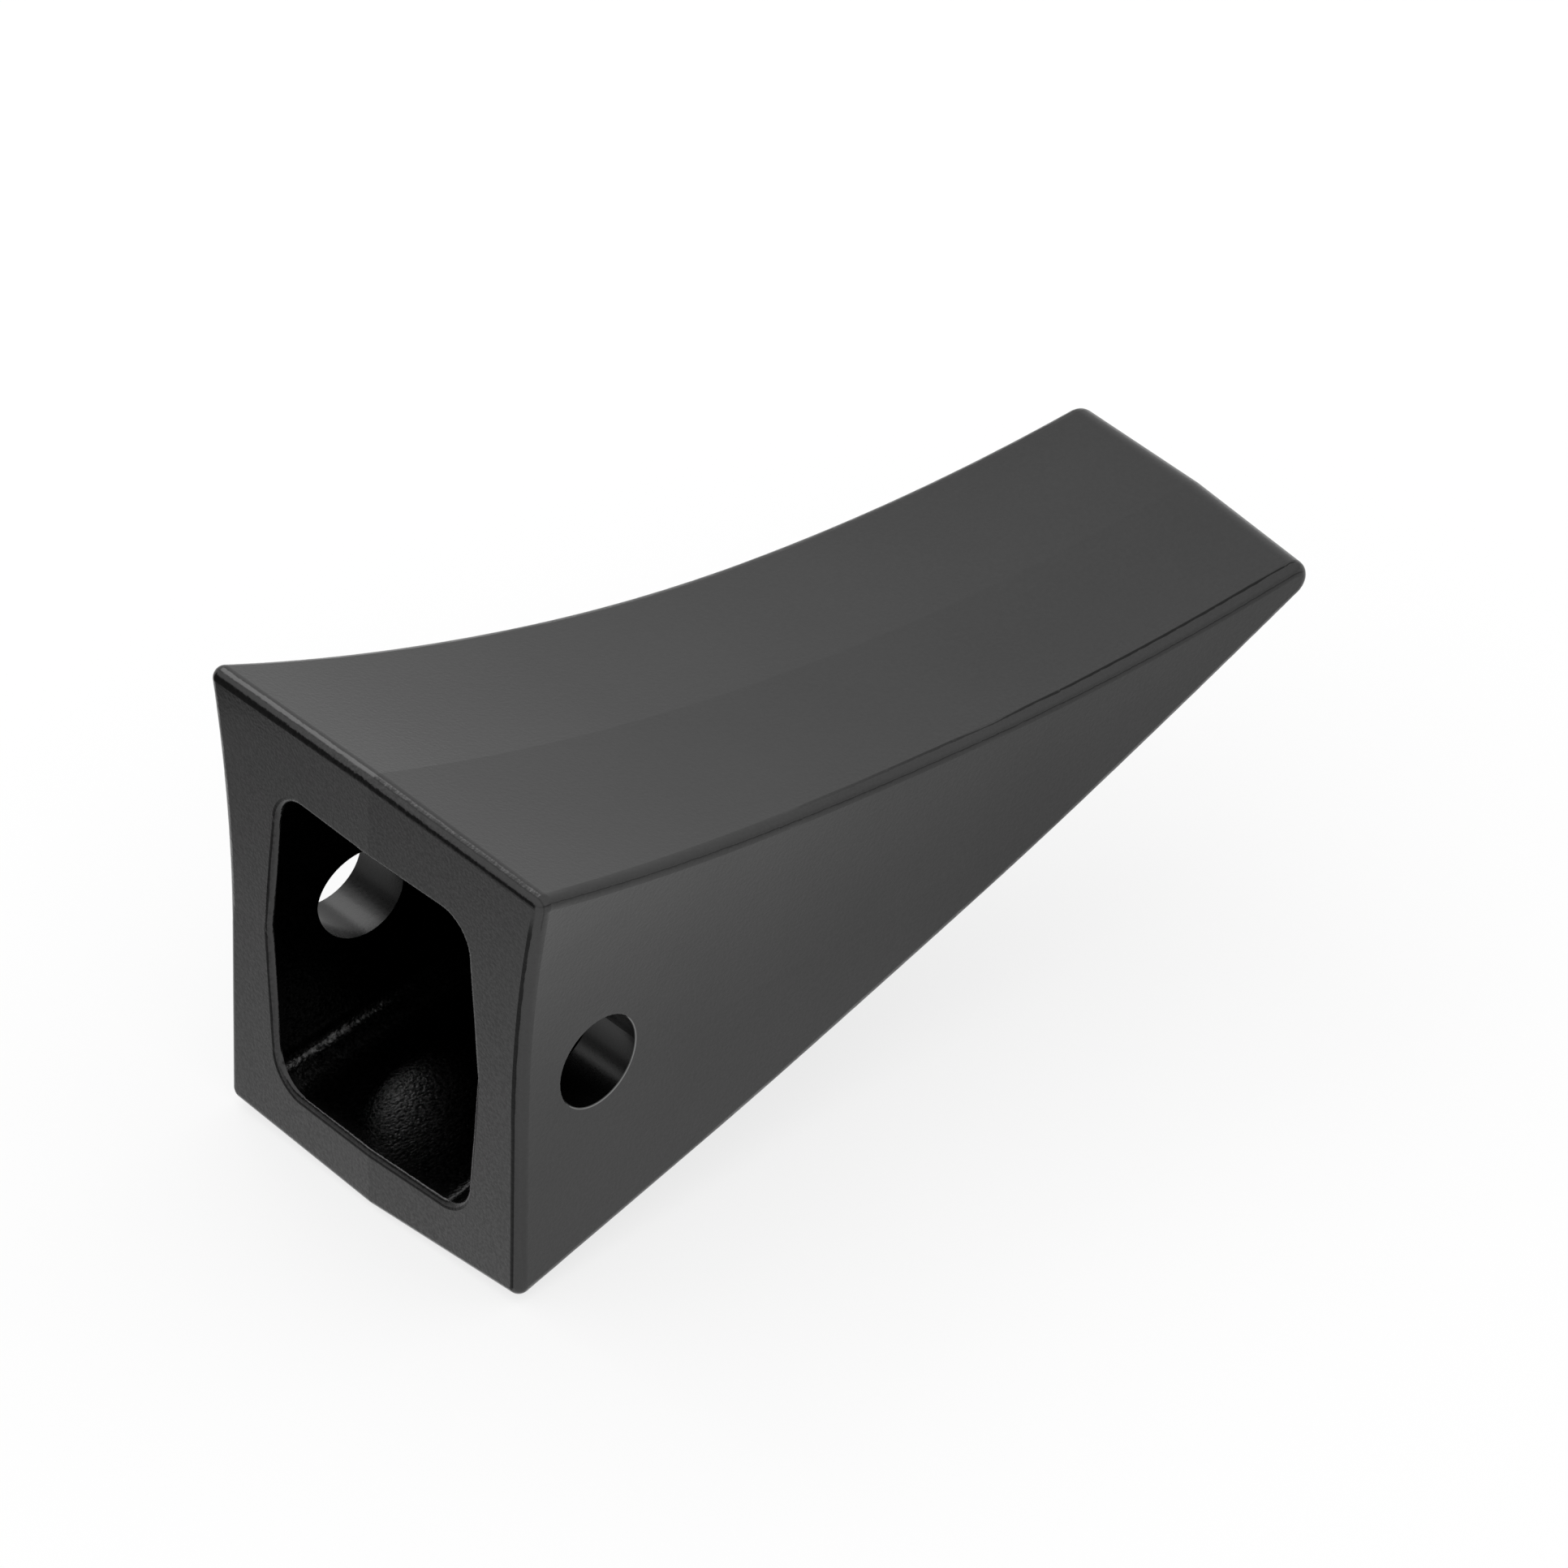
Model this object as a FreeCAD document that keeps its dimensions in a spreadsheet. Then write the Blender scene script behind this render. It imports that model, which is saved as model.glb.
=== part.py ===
import FreeCAD, Part
import math
import os
import Sketcher

# Bucket tooth: the cast point of an excavator bucket, held on its adapter nose by one cross pin.
# X runs along the tooth to the digging tip, Y to the left and Z up, all in millimetres.
# The origin is on the axis of the pin bore, in the middle of the tooth's width.
# The casting is the same on both sides of the X-Z plane, where its mould parts: the left half is
# built first and then mirrored.

NODE = "tooth"

SIZES = {
    # side outline in the parting plane, measured from the pin axis
    "rear_reach": 24.5,
    "tip_reach": 204.5,
    "nose_radius": 4.8,
    "nose_height": 24.1,
    "rear_top": 60.75,
    "rear_bottom": 53.7,
    "top_radius": 530,
    "belly_knee": 31.5,
    "belly_angle": 13.05,
    # mould draft, in degrees: how the outline shrinks away from the parting plane
    "end_draft": 1.65,
    "rear_top_draft": 2.7,
    "tip_draft": 0.85,
    "rear_bottom_draft": 1.95,
    # side walls, angles in degrees
    "pin_half_width": 45.9,
    "rear_taper": 4.8,
    "front_taper": 2,
    "taper_knee": 83.3,
    "taper_radius": 1200,
    "flare_start": -6,
    "flare_radius": 298.5,
    "wall_draft": 0.6,
    # rounded outer edges
    "edge_radius": 2.6,
    # socket for the adapter nose, angles in degrees
    "socket_depth": 105.5,
    "mouth_half_height": 38.7,
    "mouth_half_width": 33.85,
    "roof_angle": 12.7,
    "cheek_angle": 4.9,
    "core_draft": 5,
    "mouth_corner": 8.5,
    "end_corner": 6.5,
    "rim_radius": 1.6,
    "end_radius": 5,
    # pin bore through both side walls, its outer rims broken
    "bore_diameter": 22,
    "bore_bevel": 0.3,
    # how far the cutting shapes run past the metal
    "overrun": 8,
}

# How far the boxes that pick edges for rounding reach past them
MARGIN = 1
THIN = 0.1

# Lengths that follow from the sizes, written as the sheet's own expressions
BLANK_HALF_WIDTH = (
    "(Sizes.pin_half_width + Sizes.rear_reach * tan(Sizes.rear_taper)"
    " + (Sizes.rear_top - Sizes.flare_start)^2 / Sizes.flare_radius)"
)
WALL_START_X = "(-Sizes.rear_reach - Sizes.overrun)"
WALL_START_Y = f"(Sizes.pin_half_width - {WALL_START_X} * tan(Sizes.rear_taper))"


def make_sheet(doc):
    sheet = doc.addObject("Spreadsheet::Sheet", "Sizes")
    for row, (name, value) in enumerate(SIZES.items(), start=1):
        sheet.set(f"A{row}", name)
        sheet.set(f"B{row}", str(value))
        sheet.setAlias(f"B{row}", name)
    doc.recompute()
    return sheet


class Outline:
    """A sketch whose corner positions, angles and radii are bound to the sheet."""

    def __init__(self, body, role, name, offset=None):
        self.sketch = body.newObject("Sketcher::SketchObject", name)
        planes = body.Origin.OriginFeatures
        plane = next(feature for feature in planes if feature.Role == role)
        self.sketch.AttachmentSupport = [(plane, "")]
        self.sketch.MapMode = "FlatFace"
        if offset:
            self.sketch.setExpression("AttachmentOffset.Base.z", offset)

    def value(self, expression):
        return float(self.sketch.evalExpression(expression))

    def point(self, across, up):
        return FreeCAD.Vector(self.value(across), self.value(up), 0)

    def line(self, start, end):
        return self.sketch.addGeometry(Part.LineSegment(start, end))

    def arc(self, centre, radius, start, end):
        """A counter-clockwise arc between the directions of two points seen from its centre."""
        circle = Part.Circle(centre, FreeCAD.Vector(0, 0, 1), radius)
        first = math.atan2(start.y - centre.y, start.x - centre.x)
        last = math.atan2(end.y - centre.y, end.x - centre.x)
        return self.sketch.addGeometry(Part.ArcOfCircle(circle, first, last))

    def relate(self, kind, *where):
        self.sketch.addConstraint(Sketcher.Constraint(kind, *where))

    def bind(self, kind, expression, *where):
        value = self.value(expression)
        if kind == "Angle":
            value = math.radians(value)
        index = self.sketch.addConstraint(Sketcher.Constraint(kind, *where, value))
        self.sketch.setExpression(f"Constraints[{index}]", expression)

    def place(self, geometry, end, across=None, up=None):
        if across:
            self.bind("DistanceX", across, -1, 1, geometry, end)
        if up:
            self.bind("DistanceY", up, -1, 1, geometry, end)


def meet(left, left_radius, right, right_radius):
    """The upper of the two points that lie at given distances from two others."""
    step = right - left
    along = (left_radius**2 - right_radius**2 + step.Length**2) / (2 * step.Length)
    rise = math.sqrt(left_radius**2 - along**2)
    step.normalize()
    return left + step * along + FreeCAD.Vector(-step.y, step.x, 0) * rise


def side_outline(body, name, distance):
    """The tooth seen from its side, at a distance to the left of the parting plane."""
    rear = f"(-Sizes.rear_reach + {distance} * tan(Sizes.end_draft))"
    tip = f"(Sizes.tip_reach - {distance} * tan(Sizes.end_draft))"
    rear_top = f"(Sizes.rear_top - {distance} * tan(Sizes.rear_top_draft))"
    rear_bottom = f"(-Sizes.rear_bottom + {distance} * tan(Sizes.rear_bottom_draft))"
    knee_height = f"({rear_bottom} + (Sizes.belly_knee - {rear}) * tan(Sizes.belly_angle))"
    thinner = f"({distance} * tan(Sizes.tip_draft) / 2)"
    nose_radius = f"(Sizes.nose_radius - {thinner})"
    nose_height = f"(Sizes.nose_height - {thinner})"

    outline = Outline(body, "XZ_Plane", name, f"-{distance}")
    heel = outline.point(rear, rear_bottom)
    brow = outline.point(rear, rear_top)
    knee = outline.point("Sizes.belly_knee", knee_height)
    centre = outline.point(f"{tip} - {nose_radius}", nose_height)
    radius = outline.value(nose_radius)
    top_radius = outline.value("Sizes.top_radius")
    top_centre = meet(brow, top_radius, centre, top_radius + radius)
    lean = math.radians(SIZES["belly_angle"])
    uphill = FreeCAD.Vector(-math.sin(lean), math.cos(lean), 0)
    back = knee - centre
    belly_radius = (radius**2 - back.Length**2) / (2 * (back.dot(uphill) + radius))
    belly_centre = knee + uphill * belly_radius

    rear_line = outline.line(heel, brow)
    top_arc = outline.arc(top_centre, top_radius, brow, centre)
    nose = outline.arc(centre, radius, centre * 2 - belly_centre, top_centre)
    belly_arc = outline.arc(belly_centre, belly_radius, knee, centre)
    belly_line = outline.line(knee, heel)

    outline.relate("Coincident", rear_line, 2, top_arc, 1)
    outline.relate("Tangent", top_arc, 2, nose, 2)
    outline.relate("Tangent", nose, 1, belly_arc, 2)
    outline.relate("Tangent", belly_arc, 1, belly_line, 1)
    outline.relate("Coincident", belly_line, 2, rear_line, 1)
    outline.relate("Vertical", rear_line)
    outline.place(rear_line, 1, across=rear, up=rear_bottom)
    outline.place(rear_line, 2, up=rear_top)
    outline.place(nose, 3, across=f"{tip} - {nose_radius}", up=nose_height)
    outline.bind("Radius", nose_radius, nose)
    outline.place(belly_line, 1, across="Sizes.belly_knee", up=knee_height)
    outline.bind("Radius", "Sizes.top_radius", top_arc)
    return outline.sketch


def wall_path(body):
    """The left wall seen from above: a steep taper, a large arc and a shallow taper."""
    end_x = "(Sizes.tip_reach + Sizes.overrun)"
    turn = "((Sizes.rear_taper - Sizes.front_taper) / 2)"
    tangent = f"(Sizes.taper_radius * tan{turn})"
    arc_start_x = f"(Sizes.taper_knee - {tangent} * cos(Sizes.rear_taper))"
    arc_start_y = f"(Sizes.pin_half_width - {arc_start_x} * tan(Sizes.rear_taper))"
    arc_end_x = f"(Sizes.taper_knee + {tangent} * cos(Sizes.front_taper))"
    knee_y = "(Sizes.pin_half_width - Sizes.taper_knee * tan(Sizes.rear_taper))"
    arc_end_y = f"({knee_y} - {tangent} * sin(Sizes.front_taper))"
    end_y = f"({knee_y} - ({end_x} - Sizes.taper_knee) * tan(Sizes.front_taper))"

    outline = Outline(body, "XY_Plane", "wall_path")
    start = outline.point(WALL_START_X, WALL_START_Y)
    arc_start = outline.point(arc_start_x, arc_start_y)
    arc_end = outline.point(arc_end_x, arc_end_y)
    end = outline.point(end_x, end_y)
    radius = outline.value("Sizes.taper_radius")

    rear_line = outline.line(start, arc_start)
    bend = outline.arc(meet(arc_start, radius, arc_end, radius), radius, arc_start, arc_end)
    front_line = outline.line(arc_end, end)

    outline.relate("Tangent", rear_line, 2, bend, 1)
    outline.relate("Tangent", bend, 2, front_line, 1)
    outline.place(rear_line, 1, across=WALL_START_X, up=WALL_START_Y)
    outline.place(rear_line, 2, across=arc_start_x, up=arc_start_y)
    outline.bind("Radius", "Sizes.taper_radius", bend)
    outline.place(bend, 2, across=arc_end_x)
    outline.place(front_line, 2, across=end_x)
    return outline.sketch


def wall_section(body):
    """What is cut off outside the left wall: its lower part leans in, its upper part flares."""
    low = "(-Sizes.rear_bottom - Sizes.overrun)"
    high = "(Sizes.rear_top + Sizes.overrun)"
    foot = f"({WALL_START_Y} + ({low} - Sizes.flare_start) * tan(Sizes.wall_draft))"
    outside = f"({WALL_START_Y} + {BLANK_HALF_WIDTH})"

    outline = Outline(body, "YZ_Plane", "wall_section", WALL_START_X)
    lean = math.radians(SIZES["wall_draft"])
    radius = outline.value("Sizes.flare_radius")
    bend = outline.point(WALL_START_Y, "Sizes.flare_start")
    centre = bend + FreeCAD.Vector(math.cos(lean), -math.sin(lean), 0) * radius
    rise = outline.value(high) - centre.y
    crest = FreeCAD.Vector(centre.x - math.sqrt(radius**2 - rise**2), outline.value(high), 0)
    far_top = outline.point(outside, high)
    far_foot = outline.point(outside, low)
    near_foot = outline.point(foot, low)

    wall_line = outline.line(near_foot, bend)
    flare = outline.arc(centre, radius, crest, bend)
    top_line = outline.line(crest, far_top)
    far_line = outline.line(far_top, far_foot)
    foot_line = outline.line(far_foot, near_foot)

    outline.relate("Tangent", wall_line, 2, flare, 2)
    outline.relate("Coincident", flare, 1, top_line, 1)
    outline.relate("Coincident", top_line, 2, far_line, 1)
    outline.relate("Coincident", far_line, 2, foot_line, 1)
    outline.relate("Coincident", foot_line, 2, wall_line, 1)
    outline.relate("Horizontal", top_line)
    outline.relate("Vertical", far_line)
    outline.relate("Horizontal", foot_line)
    outline.place(wall_line, 1, across=foot, up=low)
    outline.place(wall_line, 2, across=WALL_START_Y, up="Sizes.flare_start")
    outline.bind("Radius", "Sizes.flare_radius", flare)
    outline.place(far_line, 1, across=outside, up=high)
    return outline.sketch


def socket_section(body, name, depth):
    """The socket across the tooth: its cheeks lean in above and below the pin's height."""
    height = f"(Sizes.mouth_half_height - {depth} * tan(Sizes.roof_angle))"
    width = f"(Sizes.mouth_half_width - {depth} * tan(Sizes.cheek_angle))"
    shrink = "((Sizes.mouth_corner - Sizes.end_corner) / Sizes.socket_depth)"
    corner = f"(Sizes.mouth_corner - {depth} * {shrink})"
    lean = "Sizes.core_draft"
    centre_y = f"({width} - ({corner} + ({height} - {corner}) * sin({lean})) / cos({lean}))"
    side_y = f"({centre_y} + {corner} * cos({lean}))"
    side_z = f"({height} - {corner} + {corner} * sin({lean}))"

    outline = Outline(body, "YZ_Plane", name, f"-Sizes.rear_reach + {depth}")
    radius = outline.value(corner)
    middle = outline.point("-Sizes.overrun", height)
    corner_top = outline.point(centre_y, height)
    corner_side = outline.point(side_y, side_z)
    cheek = outline.point(width, "0")
    centre = outline.point(centre_y, f"({height} - {corner})")

    def below(point):
        return FreeCAD.Vector(point.x, -point.y, 0)

    roof = outline.line(middle, corner_top)
    roof_corner = outline.arc(centre, radius, corner_side, corner_top)
    upper_cheek = outline.line(corner_side, cheek)
    lower_cheek = outline.line(cheek, below(corner_side))
    floor_corner = outline.arc(below(centre), radius, below(corner_top), below(corner_side))
    floor = outline.line(below(corner_top), below(middle))
    closing = outline.line(below(middle), middle)

    outline.relate("Tangent", roof, 2, roof_corner, 2)
    outline.relate("Tangent", roof_corner, 1, upper_cheek, 1)
    outline.relate("Coincident", upper_cheek, 2, lower_cheek, 1)
    outline.relate("Tangent", lower_cheek, 2, floor_corner, 2)
    outline.relate("Tangent", floor_corner, 1, floor, 1)
    outline.relate("Coincident", floor, 2, closing, 1)
    outline.relate("Coincident", closing, 2, roof, 1)
    outline.relate("Horizontal", roof)
    outline.relate("Horizontal", floor)
    outline.relate("Vertical", closing)
    outline.relate("Equal", roof_corner, floor_corner)
    outline.relate("Equal", upper_cheek, lower_cheek)
    outline.place(closing, 2, across="-Sizes.overrun", up=height)
    outline.place(floor, 1, up=f"-{height}")
    outline.place(upper_cheek, 2, across=width, up="0")
    outline.place(upper_cheek, 1, across=side_y)
    outline.bind("Radius", corner, roof_corner)
    return outline.sketch


def bore_outline(body):
    """The pin bore across the tooth, round the origin."""
    outline = Outline(body, "XZ_Plane", "bore_outline")
    circle = Part.Circle()
    circle.Radius = outline.value("Sizes.bore_diameter / 2")
    rim = outline.sketch.addGeometry(circle)
    outline.relate("Coincident", rim, 3, -1, 1)
    outline.bind("Diameter", "Sizes.bore_diameter", rim)
    return outline.sketch


def feature(body, kind, name, **links):
    made = body.newObject(f"PartDesign::{kind}", name)
    for key, value in links.items():
        setattr(made, key, value)
    body.Document.recompute()
    return made


def soften(body, kind, name, base, size, chosen):
    """A round or bevel on those edges of the body so far that a test picks out."""
    names = [f"Edge{i}" for i, edge in enumerate(base.Shape.Edges, start=1) if chosen(edge)]
    made = body.newObject(f"PartDesign::{kind}", name)
    made.Base = (base, names)
    made.setExpression("Radius" if kind == "Fillet" else "Size", f"Sizes.{size}")
    body.Document.recompute()
    return made


def off_parting(edge):
    return edge.BoundBox.YMax > 0.01


def within(edge, low, high):
    """Whether all of an edge lies in a box given by two corners."""
    return FreeCAD.BoundBox(*low, *high).isInside(edge.BoundBox)


def is_sharp(shape, edge):
    """Whether the two faces that meet at an edge turn by more than a seam does."""
    middle = edge.valueAt((edge.FirstParameter + edge.LastParameter) / 2)
    sides = shape.ancestorsOfType(edge, Part.Face)
    facing = [face.normalAt(*face.Surface.parameter(middle)) for face in sides]
    return facing[0].getAngle(facing[-1]) > math.radians(20)


def build_tooth(doc):
    body = doc.addObject("PartDesign::Body", NODE)
    body.Label = NODE
    body.Placement = FreeCAD.Placement()
    middle = side_outline(body, "middle_outline", "0")
    side = side_outline(body, "side_outline", BLANK_HALF_WIDTH)
    path = wall_path(body)
    outside = wall_section(body)
    mouth = socket_section(body, "mouth_outline", "(-Sizes.overrun)")
    end = socket_section(body, "end_outline", "Sizes.socket_depth")
    bore = bore_outline(body)
    doc.recompute()

    feature(body, "AdditiveLoft", "blank", Profile=middle, Sections=[side], Ruled=True)
    wall = feature(body, "SubtractivePipe", "side_wall", Profile=outside, Spine=path, Mode="Fixed")
    soften(body, "Fillet", "outer_rounds", wall, "edge_radius",
           lambda edge: off_parting(edge) and is_sharp(wall.Shape, edge))

    socket = feature(body, "SubtractiveLoft", "socket", Profile=mouth, Sections=[end], Ruled=True)
    end_x = SIZES["socket_depth"] - SIZES["rear_reach"]
    reach = SIZES["rear_bottom"]
    end_round = soften(body, "Fillet", "end_round", socket, "end_radius",
                       lambda edge: off_parting(edge)
                       and within(edge, (end_x - THIN, -MARGIN, -reach), (end_x + THIN, reach, reach)))

    rear_x = -SIZES["rear_reach"]
    width = SIZES["mouth_half_width"] + MARGIN
    height = SIZES["mouth_half_height"] + MARGIN
    soften(body, "Fillet", "mouth_rim", end_round, "rim_radius",
           lambda edge: off_parting(edge)
           and within(edge, (rear_x - MARGIN, -MARGIN, -height),
                      (rear_x + 2 * MARGIN, width, height)))

    drilled = feature(body, "Pocket", "bore", Profile=bore, Type="ThroughAll")
    radius = SIZES["bore_diameter"] / 2 + THIN
    low_y = (SIZES["mouth_half_width"] + SIZES["pin_half_width"]) / 2
    soften(body, "Chamfer", "bore_bevel", drilled, "bore_bevel",
           lambda edge: within(edge, (-radius, low_y, -radius), (radius, 2 * low_y, radius)))

    plane = next(item for item in body.Origin.OriginFeatures if item.Role == "XZ_Plane")
    whole = body.newObject("PartDesign::Mirrored", "both_halves")
    whole.TransformMode = "Whole shape"
    whole.MirrorPlane = (plane, [""])
    body.Tip = whole
    doc.recompute()
    return body


def check(doc, body):
    for item in doc.Objects:
        if "Invalid" in item.State or "Error" in item.State:
            raise RuntimeError(f"{item.Name} failed: {item.State}")
        if item.isDerivedFrom("PartDesign::Feature") and item.Shape.isNull():
            raise RuntimeError(f"{item.Name} has no shape")
        if item.isDerivedFrom("PartDesign::Feature") and not item.Shape.isValid():
            raise RuntimeError(f"{item.Name} has a faulty shape")
    if len(body.Shape.Solids) != 1:
        raise RuntimeError(f"{NODE} is {len(body.Shape.Solids)} solids")


doc = FreeCAD.newDocument("BucketTooth")
make_sheet(doc)
tooth = build_tooth(doc)
check(doc, tooth)
os.makedirs("parts", exist_ok=True)
tooth.Shape.exportStep(f"parts/{NODE}.step")
print(f"{NODE}: {tooth.Shape.Volume / 1000:.1f} cubic centimetres")
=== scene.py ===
"""Looks of the bucket tooth: a dark satin cast steel, a white studio floor and the photo's camera."""

import bpy
from mathutils import Matrix, Vector


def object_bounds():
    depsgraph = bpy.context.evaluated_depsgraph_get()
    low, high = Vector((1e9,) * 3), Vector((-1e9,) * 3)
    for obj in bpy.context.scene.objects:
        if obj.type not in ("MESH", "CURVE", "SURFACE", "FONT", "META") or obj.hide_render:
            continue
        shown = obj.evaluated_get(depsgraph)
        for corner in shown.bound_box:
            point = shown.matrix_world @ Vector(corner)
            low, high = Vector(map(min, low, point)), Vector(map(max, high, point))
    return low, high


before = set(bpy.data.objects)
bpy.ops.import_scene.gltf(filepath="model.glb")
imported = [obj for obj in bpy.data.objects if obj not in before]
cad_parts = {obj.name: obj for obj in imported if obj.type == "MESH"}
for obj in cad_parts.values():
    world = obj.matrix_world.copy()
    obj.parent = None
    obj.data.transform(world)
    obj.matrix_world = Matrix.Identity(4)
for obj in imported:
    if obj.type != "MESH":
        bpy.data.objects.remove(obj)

cad_low, cad_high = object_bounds()

# The photo's camera: one parallel view, 50 degrees round from the tooth's side and 37 degrees up.
CAMERA_RIGHT = Vector((0.76604444, -0.64278761, 0))
CAMERA_UP = Vector((0.38683924, 0.46101705, 0.79863551))
CAMERA_TARGET = Vector((0.0896, 0, 0.00305))
CAMERA_DISTANCE = 1.2
PHOTO_WIDTH = 0.32969

# The steel: a very dark metallic shader
STEEL_COLOUR = (0.0556, 0.0556, 0.0556)
STEEL_METALLIC = 1.0
STEEL_ROUGHNESS = 0.17
BORE_EXTRA_ROUGHNESS = 0.12
ROUGHNESS_SPREAD = 0.02

# The noises: scale and detail, and the part of a noise's values that is spread out
PATCHES = (28, 3)
GRAIN = (1400, 1)
PITS = (900, 2)
NOISE_LOW = 0.3
NOISE_HIGH = 0.7

# How much the noises change the tone: the patches, and the grain everywhere, where it is coarse,
# and in the socket, from its mouth (first two numbers: along X) to its end
PATCH_TONE = (0.97, 1.03)
GRAIN_TONE = 0.04
COARSE_TONE = 0.16
SOCKET_TONE = (0.02, 0.06, 0.6, 0.2)

# The relief: the share of each noise, how much of it the bore loses, and its height in m
RELIEF_SHARE = 0.5
BORE_RELIEF_LOSS = 0.6
RELIEF_HEIGHT = 0.00002

# Where each part of the surface lies: from, to, and the soft border outside them.
# The socket is under its sloping roof and over its floor, which mirrors it: half the height
# above the pin bore, and how much that falls for each metre along X.
SOCKET_HALF_HEIGHT = 0.0343
SOCKET_SLOPE = 0.2254
SOCKET_INSIDE = (0, 1, 0.0008)
SOCKET_WIDTH = (0, 0.035, 0.0008)
SOCKET_LENGTH = (-0.0205, 0.09, 0.0015)
# the width of the socket's middle that gets painted shade
SOCKET_SHADE_WIDTH = (0, 0.019, 0.004)
BORE_RADIUS = (0, 0.01104, 0.00003)
REAR_FACE = (-0.03, -0.0235, 0.0008)
# where the painted highlight at the pin bore's rims lies
RIM_HIGHLIGHT_RADIUS = (0.01113, 0.01128, 0.00004)
RIM_HIGHLIGHT_WIDTH = (0.042, 0.05, 0.001)

# Painted shade: fine dark lines along the rounds, standing in for their darker reflections, by the
# surface's normal and by place
REAR_LINE_TURN = (0.92, 0.99, 0.008)
REAR_LINE_LENGTH = (-0.03, -0.02, 0.001)
REAR_LINE_HEIGHT = (-0.1, 0.047, 0.006)
TOP_LINE_TURN = (0.42, 0.5, 0.03)
TOP_LINE_HEIGHT = (0.05, 0.07, 0.002)
MIDDLE_LINE_SHIFT = 0.7
MIDDLE_LINE_RISE = (0.38, 0.43, 0.03)
MIDDLE_LINE_LEAN = (0.8, 1, 0.03)
UPPER_LINE_LEAN = (0.24, 0.3, 0.03)
UPPER_LINE_RISE = (0.9, 1, 0.02)
UPPER_LINE_LENGTH = (0.15, 0.3, 0.12)

# The share of the tone that each painted shade takes away, and the painted highlight that the pin
# bore's rims get
SOCKET_PAINTED_SHADE = 0.35
# painted shade inside the pin bore
BORE_PAINTED_SHADE = 0.13
REAR_LINE_PAINTED_SHADE = 0.7
TOP_LINE_PAINTED_SHADE = 0.25
MIDDLE_LINE_PAINTED_SHADE = 0.45
UPPER_LINE_PAINTED_SHADE = 0.65
RIM_PAINTED_HIGHLIGHT = 2.2

# The studio: the level of the world for matt surfaces, how gloss sees the world from the horizon up,
# and how much darker gloss sees the floor along X, first in front of the tooth and then far away:
# painted shade on the floor that only reflections show
AMBIENT = 1.0
WORLD_FADE = (0.05, 0.5, 0.82, 1.02)
FLOOR_HALF = 6
FLOOR_COLOUR = (0.95, 0.95, 0.95, 1)
FLOOR_SHINE = 0.75
FLOOR_DARKENING = (0.05, 0.3, 0.0, 0.33)
FLOOR_RETURN = (0.6, 1.2, 1.0, 0.0)
WHITE = (1, 1, 1, 1)
LAMPS = {
    # name: (direction from the tooth, distance in m, width in m, height in m, watts)
    "key": ((0.06, 0.7, 0.71), 1.6, 0.9, 0.7, 3.4),
}

# The flag beside the photo's frame and the shade on the floor before it, which only gloss sees.
# Places are along the camera's right and along its view, from above the pin bore, in m.
FLAG_PLACE = -0.1
FLAG_HEIGHT = 0.125
CARD_NEAR = -0.13
CARD_FAR = 0.06
CARD_LIFT = 0.0005
SHADE_START = 0.02
SHADE_BORDER_END = -0.09
# each fade: where it starts and ends, and its levels there
SHADE_FADE = (SHADE_START, FLAG_PLACE, 1.0, 0.68)
SHADE_BORDER = (CARD_NEAR, SHADE_BORDER_END, 0.0, 1.0)
FLAG_FOOT_FADE = (0.0, 0.046, 0.7, 0.52)
FLAG_TOP_FADE = (0.056, 0.078, 1.0, 0.23)


def add_node(tree, kind, **values):
    """Adds a shader node, with sockets and properties set by name."""
    node = tree.nodes.new(kind)
    for name, value in values.items():
        if hasattr(node, name):
            setattr(node, name, value)
        else:
            node.inputs[name.replace("_", " ")].default_value = value
    return node


def new_material(name):
    material = bpy.data.materials.new(name)
    material.use_nodes = True
    material.node_tree.nodes.clear()
    return material, material.node_tree


def split(tree, vector):
    """The three parts of a vector."""
    parts = add_node(tree, "ShaderNodeSeparateXYZ")
    tree.links.new(vector, parts.inputs[0])
    return [parts.outputs[axis] for axis in "XYZ"]


def place_and_normal(tree):
    """The object's own coordinates and its own normal."""
    coordinates = add_node(tree, "ShaderNodeTexCoord")
    return coordinates.outputs["Object"], coordinates.outputs["Normal"]


def noise(tree, coordinates, scale, detail):
    """A noise between 0 and 1, in object coordinates."""
    node = add_node(tree, "ShaderNodeTexNoise", Scale=scale, Detail=detail, Roughness=0.5)
    tree.links.new(coordinates, node.inputs["Vector"])
    return node.outputs["Fac"]


def math(tree, operation, first, second=0.0):
    """One Math node; each input is a socket or a number."""
    node = add_node(tree, "ShaderNodeMath", operation=operation)
    for socket, value in zip(node.inputs, (first, second)):
        if isinstance(value, (int, float)):
            socket.default_value = value
        else:
            tree.links.new(value, socket)
    return node.outputs[0]


def times(tree, first, *others):
    """The product of all that it is given."""
    for other in others:
        first = math(tree, "MULTIPLY", first, other)
    return first


def rest_of(tree, value):
    """1 less the value."""
    return math(tree, "SUBTRACT", 1.0, value)


def fade(tree, value, limits, interpolation="LINEAR"):
    """Maps a value from its first two limits to the last two, and holds it outside them."""
    node = add_node(tree, "ShaderNodeMapRange", interpolation_type=interpolation)
    for name, limit in zip(("From Min", "From Max", "To Min", "To Max"), limits):
        node.inputs[name].default_value = limit
    tree.links.new(value, node.inputs["Value"])
    return node.outputs["Result"]


def spread(tree, value, low, high):
    """Maps a noise to low to high about its middle."""
    return fade(tree, value, (NOISE_LOW, NOISE_HIGH, low, high))


def between(tree, value, limits):
    """1 from the first limit to the second, falling to 0 over a soft border outside them."""
    low, high, soft = limits
    rising = fade(tree, value, (low - soft, low, 0, 1), "SMOOTHSTEP")
    falling = fade(tree, value, (high, high + soft, 1, 0), "SMOOTHSTEP")
    return times(tree, rising, falling)


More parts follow.
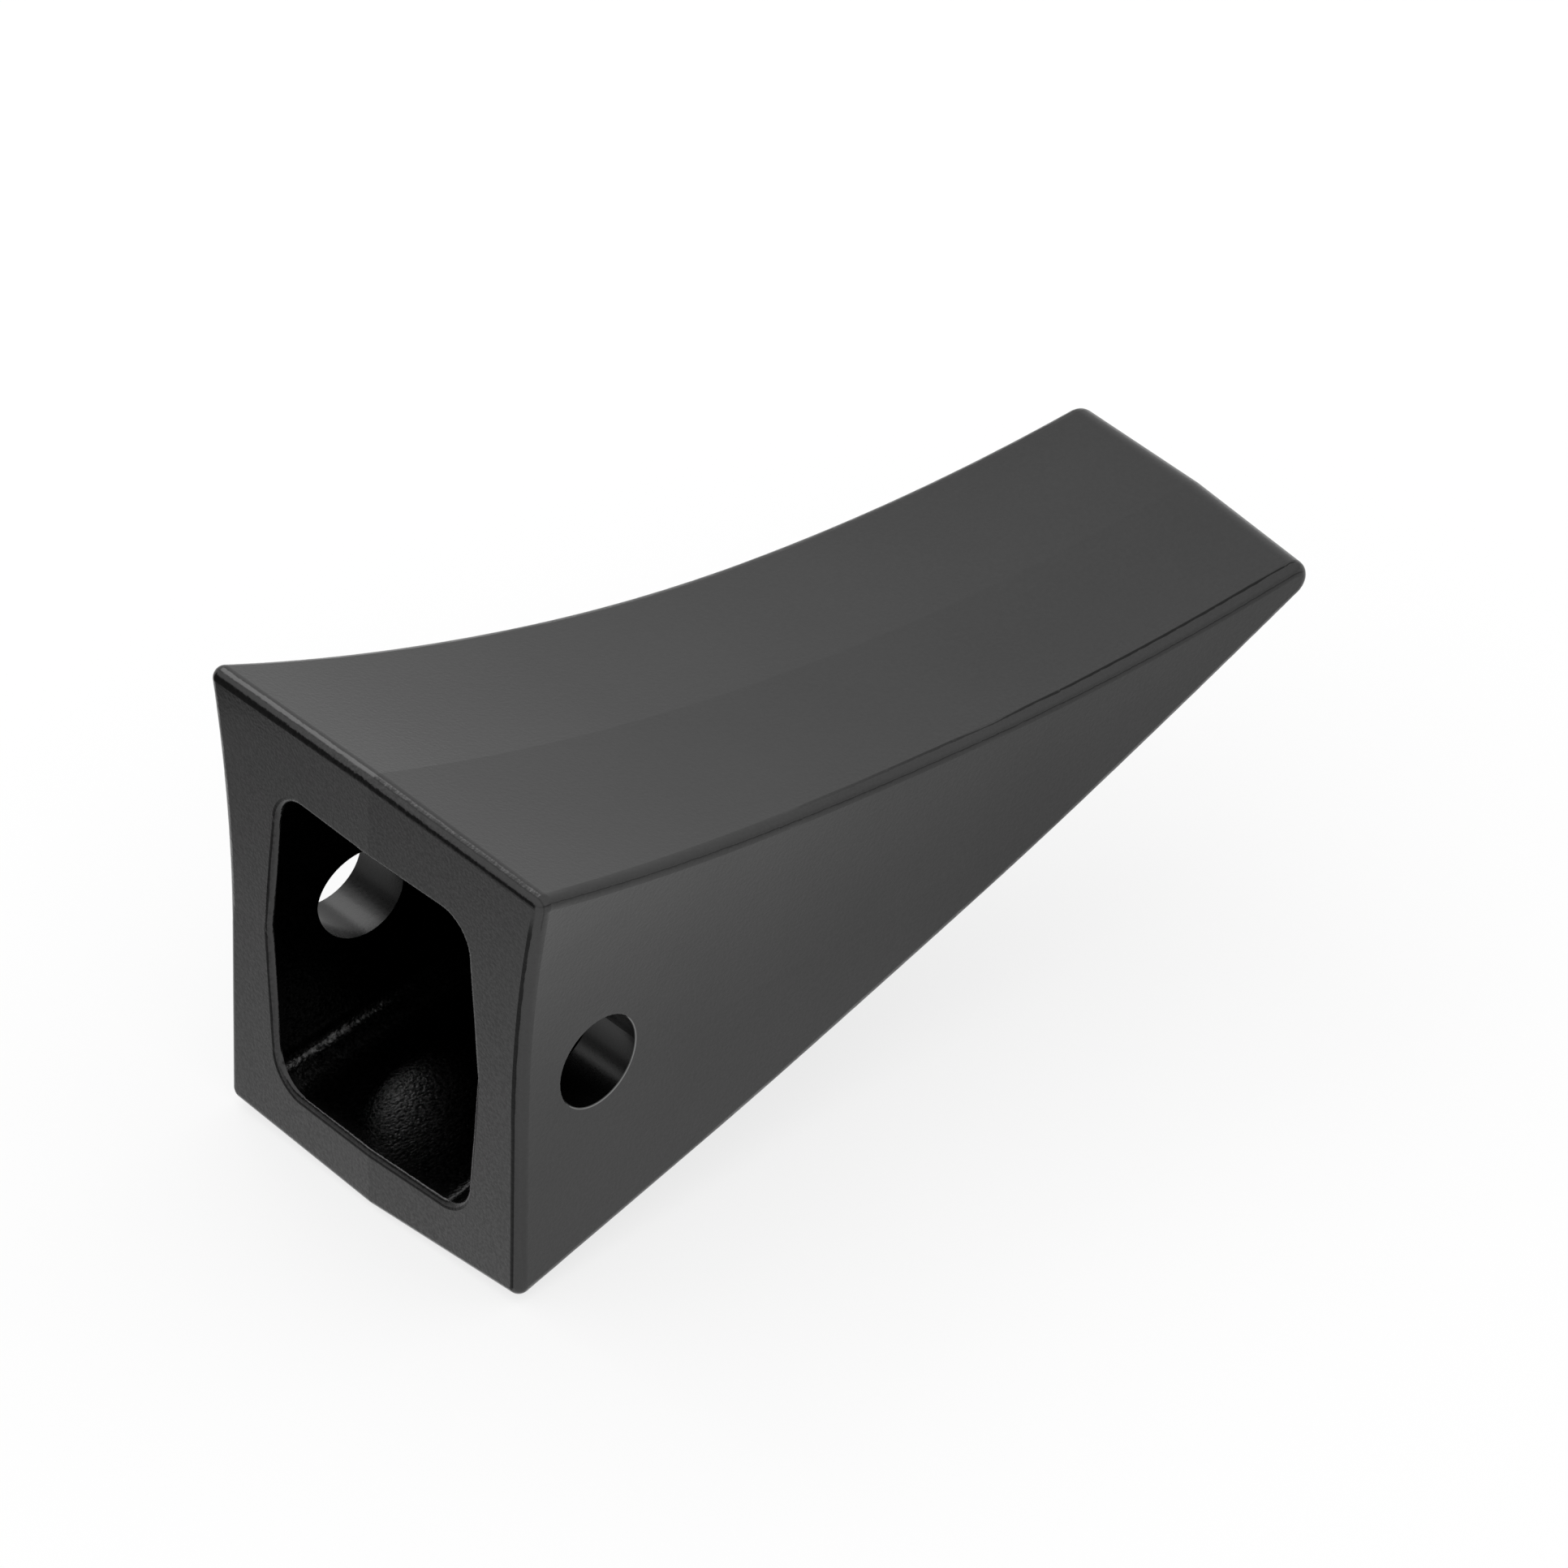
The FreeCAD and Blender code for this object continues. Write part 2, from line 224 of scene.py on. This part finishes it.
def surface_masks(tree, place):
    """Masks of the socket's skin and its painted-shade middle, the bore, the coarse grain and the
    painted highlight at the bore's rims.
    """
    x, y, z = split(tree, place)
    width = math(tree, "ABSOLUTE", y)
    height = math(tree, "ABSOLUTE", z)
    squares = math(tree, "ADD", times(tree, x, x), times(tree, z, z))
    radius = math(tree, "SQRT", squares)
    half_height = math(tree, "SUBTRACT", SOCKET_HALF_HEIGHT, times(tree, x, SOCKET_SLOPE))
    inside = math(tree, "SUBTRACT", half_height, height)

    bore = between(tree, radius, BORE_RADIUS)
    skin = times(tree, between(tree, inside, SOCKET_INSIDE), between(tree, width, SOCKET_WIDTH),
                 between(tree, x, SOCKET_LENGTH), rest_of(tree, bore))
    # painted shade: the socket's middle is darker
    socket_shade = times(tree, skin, between(tree, width, SOCKET_SHADE_WIDTH))
    # the rear face has the same coarser grain as the socket
    coarse = math(tree, "MAXIMUM", skin, between(tree, x, REAR_FACE))
    # painted highlight: a bright ring at the pin bore's rims on the outer walls
    rim_highlight = times(tree, between(tree, radius, RIM_HIGHLIGHT_RADIUS), between(tree, width, RIM_HIGHLIGHT_WIDTH))
    return skin, socket_shade, bore, coarse, rim_highlight


def painted_shade_lines(tree, place, normal, skin):
    """Painted shade: fine dark lines along the rounds, each with the share of the tone that it takes
    away.
    """
    x, y, z = split(tree, place)
    front, side, rise = split(tree, normal)
    turn = times(tree, front, -1.0)
    lean = math(tree, "ABSOLUTE", side)
    # where the rear face turns
    rear_line = times(tree, between(tree, turn, REAR_LINE_TURN), between(tree, x, REAR_LINE_LENGTH),
                      between(tree, z, REAR_LINE_HEIGHT))
    # under the rear top edge
    top_line = times(tree, between(tree, turn, TOP_LINE_TURN), between(tree, z, TOP_LINE_HEIGHT))
    # in the middle of the rounds between top and sides
    middle = math(tree, "ADD", rise, times(tree, x, MIDDLE_LINE_SHIFT))
    middle_line = times(tree, between(tree, middle, MIDDLE_LINE_RISE),
                        between(tree, lean, MIDDLE_LINE_LEAN), rest_of(tree, skin))
    # at the upper border of those rounds, towards the tip
    upper_line = times(tree, between(tree, lean, UPPER_LINE_LEAN), between(tree, rise, UPPER_LINE_RISE),
                       between(tree, x, UPPER_LINE_LENGTH))
    return ((rear_line, REAR_LINE_PAINTED_SHADE), (top_line, TOP_LINE_PAINTED_SHADE),
            (middle_line, MIDDLE_LINE_PAINTED_SHADE), (upper_line, UPPER_LINE_PAINTED_SHADE))


def cast_steel():
    """Dark satin cast steel: fine grain, soft patches of tone and gloss, painted shade in the socket,
    the bore and in lines at the rounds, and a painted highlight at the bore's rims.
    """
    material, tree = new_material("cast_steel")
    links = tree.links
    place, normal = place_and_normal(tree)
    skin, socket_shade, bore, coarse, rim_highlight = surface_masks(tree, place)
    lines = painted_shade_lines(tree, place, normal, skin)
    patches = noise(tree, place, *PATCHES)
    grain = noise(tree, place, *GRAIN)
    pits = noise(tree, place, *PITS)

    along = split(tree, place)[0]
    amount = math(tree, "ADD", GRAIN_TONE, times(tree, coarse, COARSE_TONE))
    amount = math(tree, "ADD", amount, times(tree, skin, fade(tree, along, SOCKET_TONE)))
    speck = times(tree, spread(tree, grain, -1, 1), amount)
    tone = times(tree, spread(tree, patches, *PATCH_TONE), math(tree, "ADD", 1.0, speck))
    # painted shade: the socket's middle, the pin bore and the lines at the rounds are darkened
    for mask, share in ((socket_shade, SOCKET_PAINTED_SHADE), (bore, BORE_PAINTED_SHADE)) + lines:
        tone = times(tree, tone, rest_of(tree, times(tree, mask, share)))
    # painted highlight on the pin bore's rims
    tone = math(tree, "ADD", tone, times(tree, rim_highlight, RIM_PAINTED_HIGHLIGHT))
    colour = add_node(tree, "ShaderNodeVectorMath", operation="SCALE")
    colour.inputs[0].default_value = STEEL_COLOUR
    links.new(tone, colour.inputs["Scale"])

    patch_gloss = spread(tree, patches, STEEL_ROUGHNESS - ROUGHNESS_SPREAD,
                         STEEL_ROUGHNESS + ROUGHNESS_SPREAD)
    grain_gloss = spread(tree, grain, -ROUGHNESS_SPREAD, ROUGHNESS_SPREAD)
    gloss = math(tree, "ADD", patch_gloss, grain_gloss)
    gloss = math(tree, "ADD", gloss, times(tree, bore, BORE_EXTRA_ROUGHNESS))

    relief = times(tree, spread(tree, grain, 0, RELIEF_SHARE), math(tree, "ADD", 1.0, coarse))
    relief = math(tree, "ADD", relief, spread(tree, pits, 0, RELIEF_SHARE))
    relief = times(tree, relief, rest_of(tree, times(tree, bore, BORE_RELIEF_LOSS)))
    bump = add_node(tree, "ShaderNodeBump", Strength=1.0, Distance=RELIEF_HEIGHT)
    links.new(relief, bump.inputs["Height"])

    surface = add_node(tree, "ShaderNodeBsdfPrincipled", Metallic=STEEL_METALLIC)
    links.new(colour.outputs["Vector"], surface.inputs["Base Color"])
    links.new(gloss, surface.inputs["Roughness"])
    links.new(bump.outputs["Normal"], surface.inputs["Normal"])
    output = add_node(tree, "ShaderNodeOutputMaterial")
    links.new(surface.outputs["BSDF"], output.inputs["Surface"])
    return material


def seen_directly(tree):
    """1 for rays of the camera, of gloss and of glass, and 0 for the rest."""
    path = add_node(tree, "ShaderNodeLightPath")
    mirrored = math(tree, "MAXIMUM", path.outputs["Is Glossy Ray"], path.outputs["Is Transmission Ray"])
    return math(tree, "MAXIMUM", path.outputs["Is Camera Ray"], mirrored)


def gloss_level(tree, level):
    """The given level for rays of gloss, and 1 for the rest."""
    path = add_node(tree, "ShaderNodeLightPath")
    return rest_of(tree, times(tree, path.outputs["Is Glossy Ray"], rest_of(tree, level)))


def floor_white():
    """White floor: seen as white, with a share that still takes the tooth's shadow."""
    material, tree = new_material("floor_white")
    along = split(tree, place_and_normal(tree)[0])[0]
    # painted shade: for gloss the floor darkens along X in front of the tooth and turns white again far
    # away
    darkening = times(tree, fade(tree, along, FLOOR_DARKENING),
                      fade(tree, along, FLOOR_RETURN, "SMOOTHSTEP"))
    matt = add_node(tree, "ShaderNodeBsdfDiffuse", Color=FLOOR_COLOUR)
    shine = add_node(tree, "ShaderNodeEmission", Color=WHITE)
    tree.links.new(gloss_level(tree, rest_of(tree, darkening)), shine.inputs["Strength"])
    mix = add_node(tree, "ShaderNodeMixShader")
    tree.links.new(times(tree, seen_directly(tree), FLOOR_SHINE), mix.inputs["Fac"])
    tree.links.new(matt.outputs["BSDF"], mix.inputs[1])
    tree.links.new(shine.outputs["Emission"], mix.inputs[2])
    output = add_node(tree, "ShaderNodeOutputMaterial")
    tree.links.new(mix.outputs["Shader"], output.inputs["Surface"])
    return material


def add_sheet(name, corners, material):
    """A flat stage piece with four corners."""
    mesh = bpy.data.meshes.new(name)
    mesh.from_pydata(corners, [], [(0, 1, 2, 3)])
    mesh.materials.append(material)
    sheet = bpy.data.objects.new(name, mesh)
    bpy.context.scene.collection.objects.link(sheet)
    return sheet


def make_floor():
    half = FLOOR_HALF
    level = cad_low.z
    corners = [(-half, -half, level), (half, -half, level), (half, half, level), (-half, half, level)]
    add_sheet("floor", corners, floor_white())


def make_card(name, corners, level_at):
    """A card of the studio that only gloss sees; level_at gives its grey from its own coordinates."""
    material, tree = new_material(name + "_grey")
    parts = split(tree, place_and_normal(tree)[0])
    grey = add_node(tree, "ShaderNodeEmission", Color=WHITE)
    tree.links.new(level_at(tree, *parts), grey.inputs["Strength"])
    output = add_node(tree, "ShaderNodeOutputMaterial")
    tree.links.new(grey.outputs["Emission"], output.inputs["Surface"])
    card = add_sheet(name, corners, material)
    forward = Vector((-CAMERA_RIGHT.y, CAMERA_RIGHT.x, 0))
    turn = Matrix((CAMERA_RIGHT, forward, (0, 0, 1))).transposed().to_4x4()
    card.matrix_world = Matrix.Translation((0, 0, cad_low.z + CARD_LIFT)) @ turn
    card.visible_camera = False
    card.visible_diffuse = False
    card.visible_shadow = False


def shade_level(tree, right, along, height):
    """The floor darkens towards the flag, and the shade melts into the floor at its near border."""
    darkening = rest_of(tree, fade(tree, right, SHADE_FADE))
    return rest_of(tree, times(tree, darkening, fade(tree, along, SHADE_BORDER, "SMOOTHSTEP")))


def flag_level(tree, right, along, height):
    """Grey over the flag's foot, and nearly black above."""
    return times(tree, fade(tree, height, FLAG_FOOT_FADE),
                 fade(tree, height, FLAG_TOP_FADE, "SMOOTHSTEP"))


def make_cards():
    near, far = CARD_NEAR, CARD_FAR
    shade = [(FLAG_PLACE, near, 0), (SHADE_START, near, 0), (SHADE_START, far, 0), (FLAG_PLACE, far, 0)]
    flag = [(FLAG_PLACE, near, 0), (FLAG_PLACE, far, 0), (FLAG_PLACE, far, FLAG_HEIGHT),
            (FLAG_PLACE, near, FLAG_HEIGHT)]
    make_card("shade", shade, shade_level)
    make_card("flag", flag, flag_level)


def make_world():
    """White for the camera, darker towards the horizon for gloss, and plain for matt surfaces."""
    world = bpy.data.worlds.new("studio")
    bpy.context.scene.world = world
    world.use_nodes = True
    tree = world.node_tree
    tree.nodes.clear()
    height = split(tree, add_node(tree, "ShaderNodeTexCoord").outputs["Generated"])[2]
    matt = add_node(tree, "ShaderNodeBackground", Color=WHITE, Strength=AMBIENT)
    seen = add_node(tree, "ShaderNodeBackground", Color=WHITE)
    level = fade(tree, height, WORLD_FADE, "SMOOTHSTEP")
    tree.links.new(gloss_level(tree, level), seen.inputs["Strength"])
    mix = add_node(tree, "ShaderNodeMixShader")
    tree.links.new(seen_directly(tree), mix.inputs["Fac"])
    tree.links.new(matt.outputs["Background"], mix.inputs[1])
    tree.links.new(seen.outputs["Background"], mix.inputs[2])
    output = add_node(tree, "ShaderNodeOutputWorld")
    tree.links.new(mix.outputs["Shader"], output.inputs["Surface"])


def make_lamps():
    centre = (cad_low + cad_high) / 2
    for name, (direction, distance, width, height, watts) in LAMPS.items():
        lamp = bpy.data.lights.new(name, "AREA")
        lamp.shape = "RECTANGLE"
        lamp.size = width
        lamp.size_y = height
        lamp.energy = watts
        away = Vector(direction).normalized()
        turn = away.to_track_quat("Z", "Y").to_matrix().to_4x4()
        holder = bpy.data.objects.new(name, lamp)
        holder.matrix_world = Matrix.Translation(centre + away * distance) @ turn
        bpy.context.scene.collection.objects.link(holder)


def make_camera():
    back = CAMERA_RIGHT.cross(CAMERA_UP)
    lens = bpy.data.cameras.new("camera")
    lens.type = "ORTHO"
    lens.ortho_scale = PHOTO_WIDTH
    camera = bpy.data.objects.new("camera", lens)
    turn = Matrix((CAMERA_RIGHT, CAMERA_UP, back)).transposed().to_4x4()
    camera.matrix_world = Matrix.Translation(CAMERA_TARGET + back * CAMERA_DISTANCE) @ turn
    bpy.context.scene.collection.objects.link(camera)
    bpy.context.scene.camera = camera


make_camera()
make_world()
make_lamps()
make_floor()
make_cards()
bpy.context.scene.view_settings.view_transform = "Standard"

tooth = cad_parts["tooth"]
steel = cast_steel()
for slot in tooth.material_slots:
    slot.material = steel
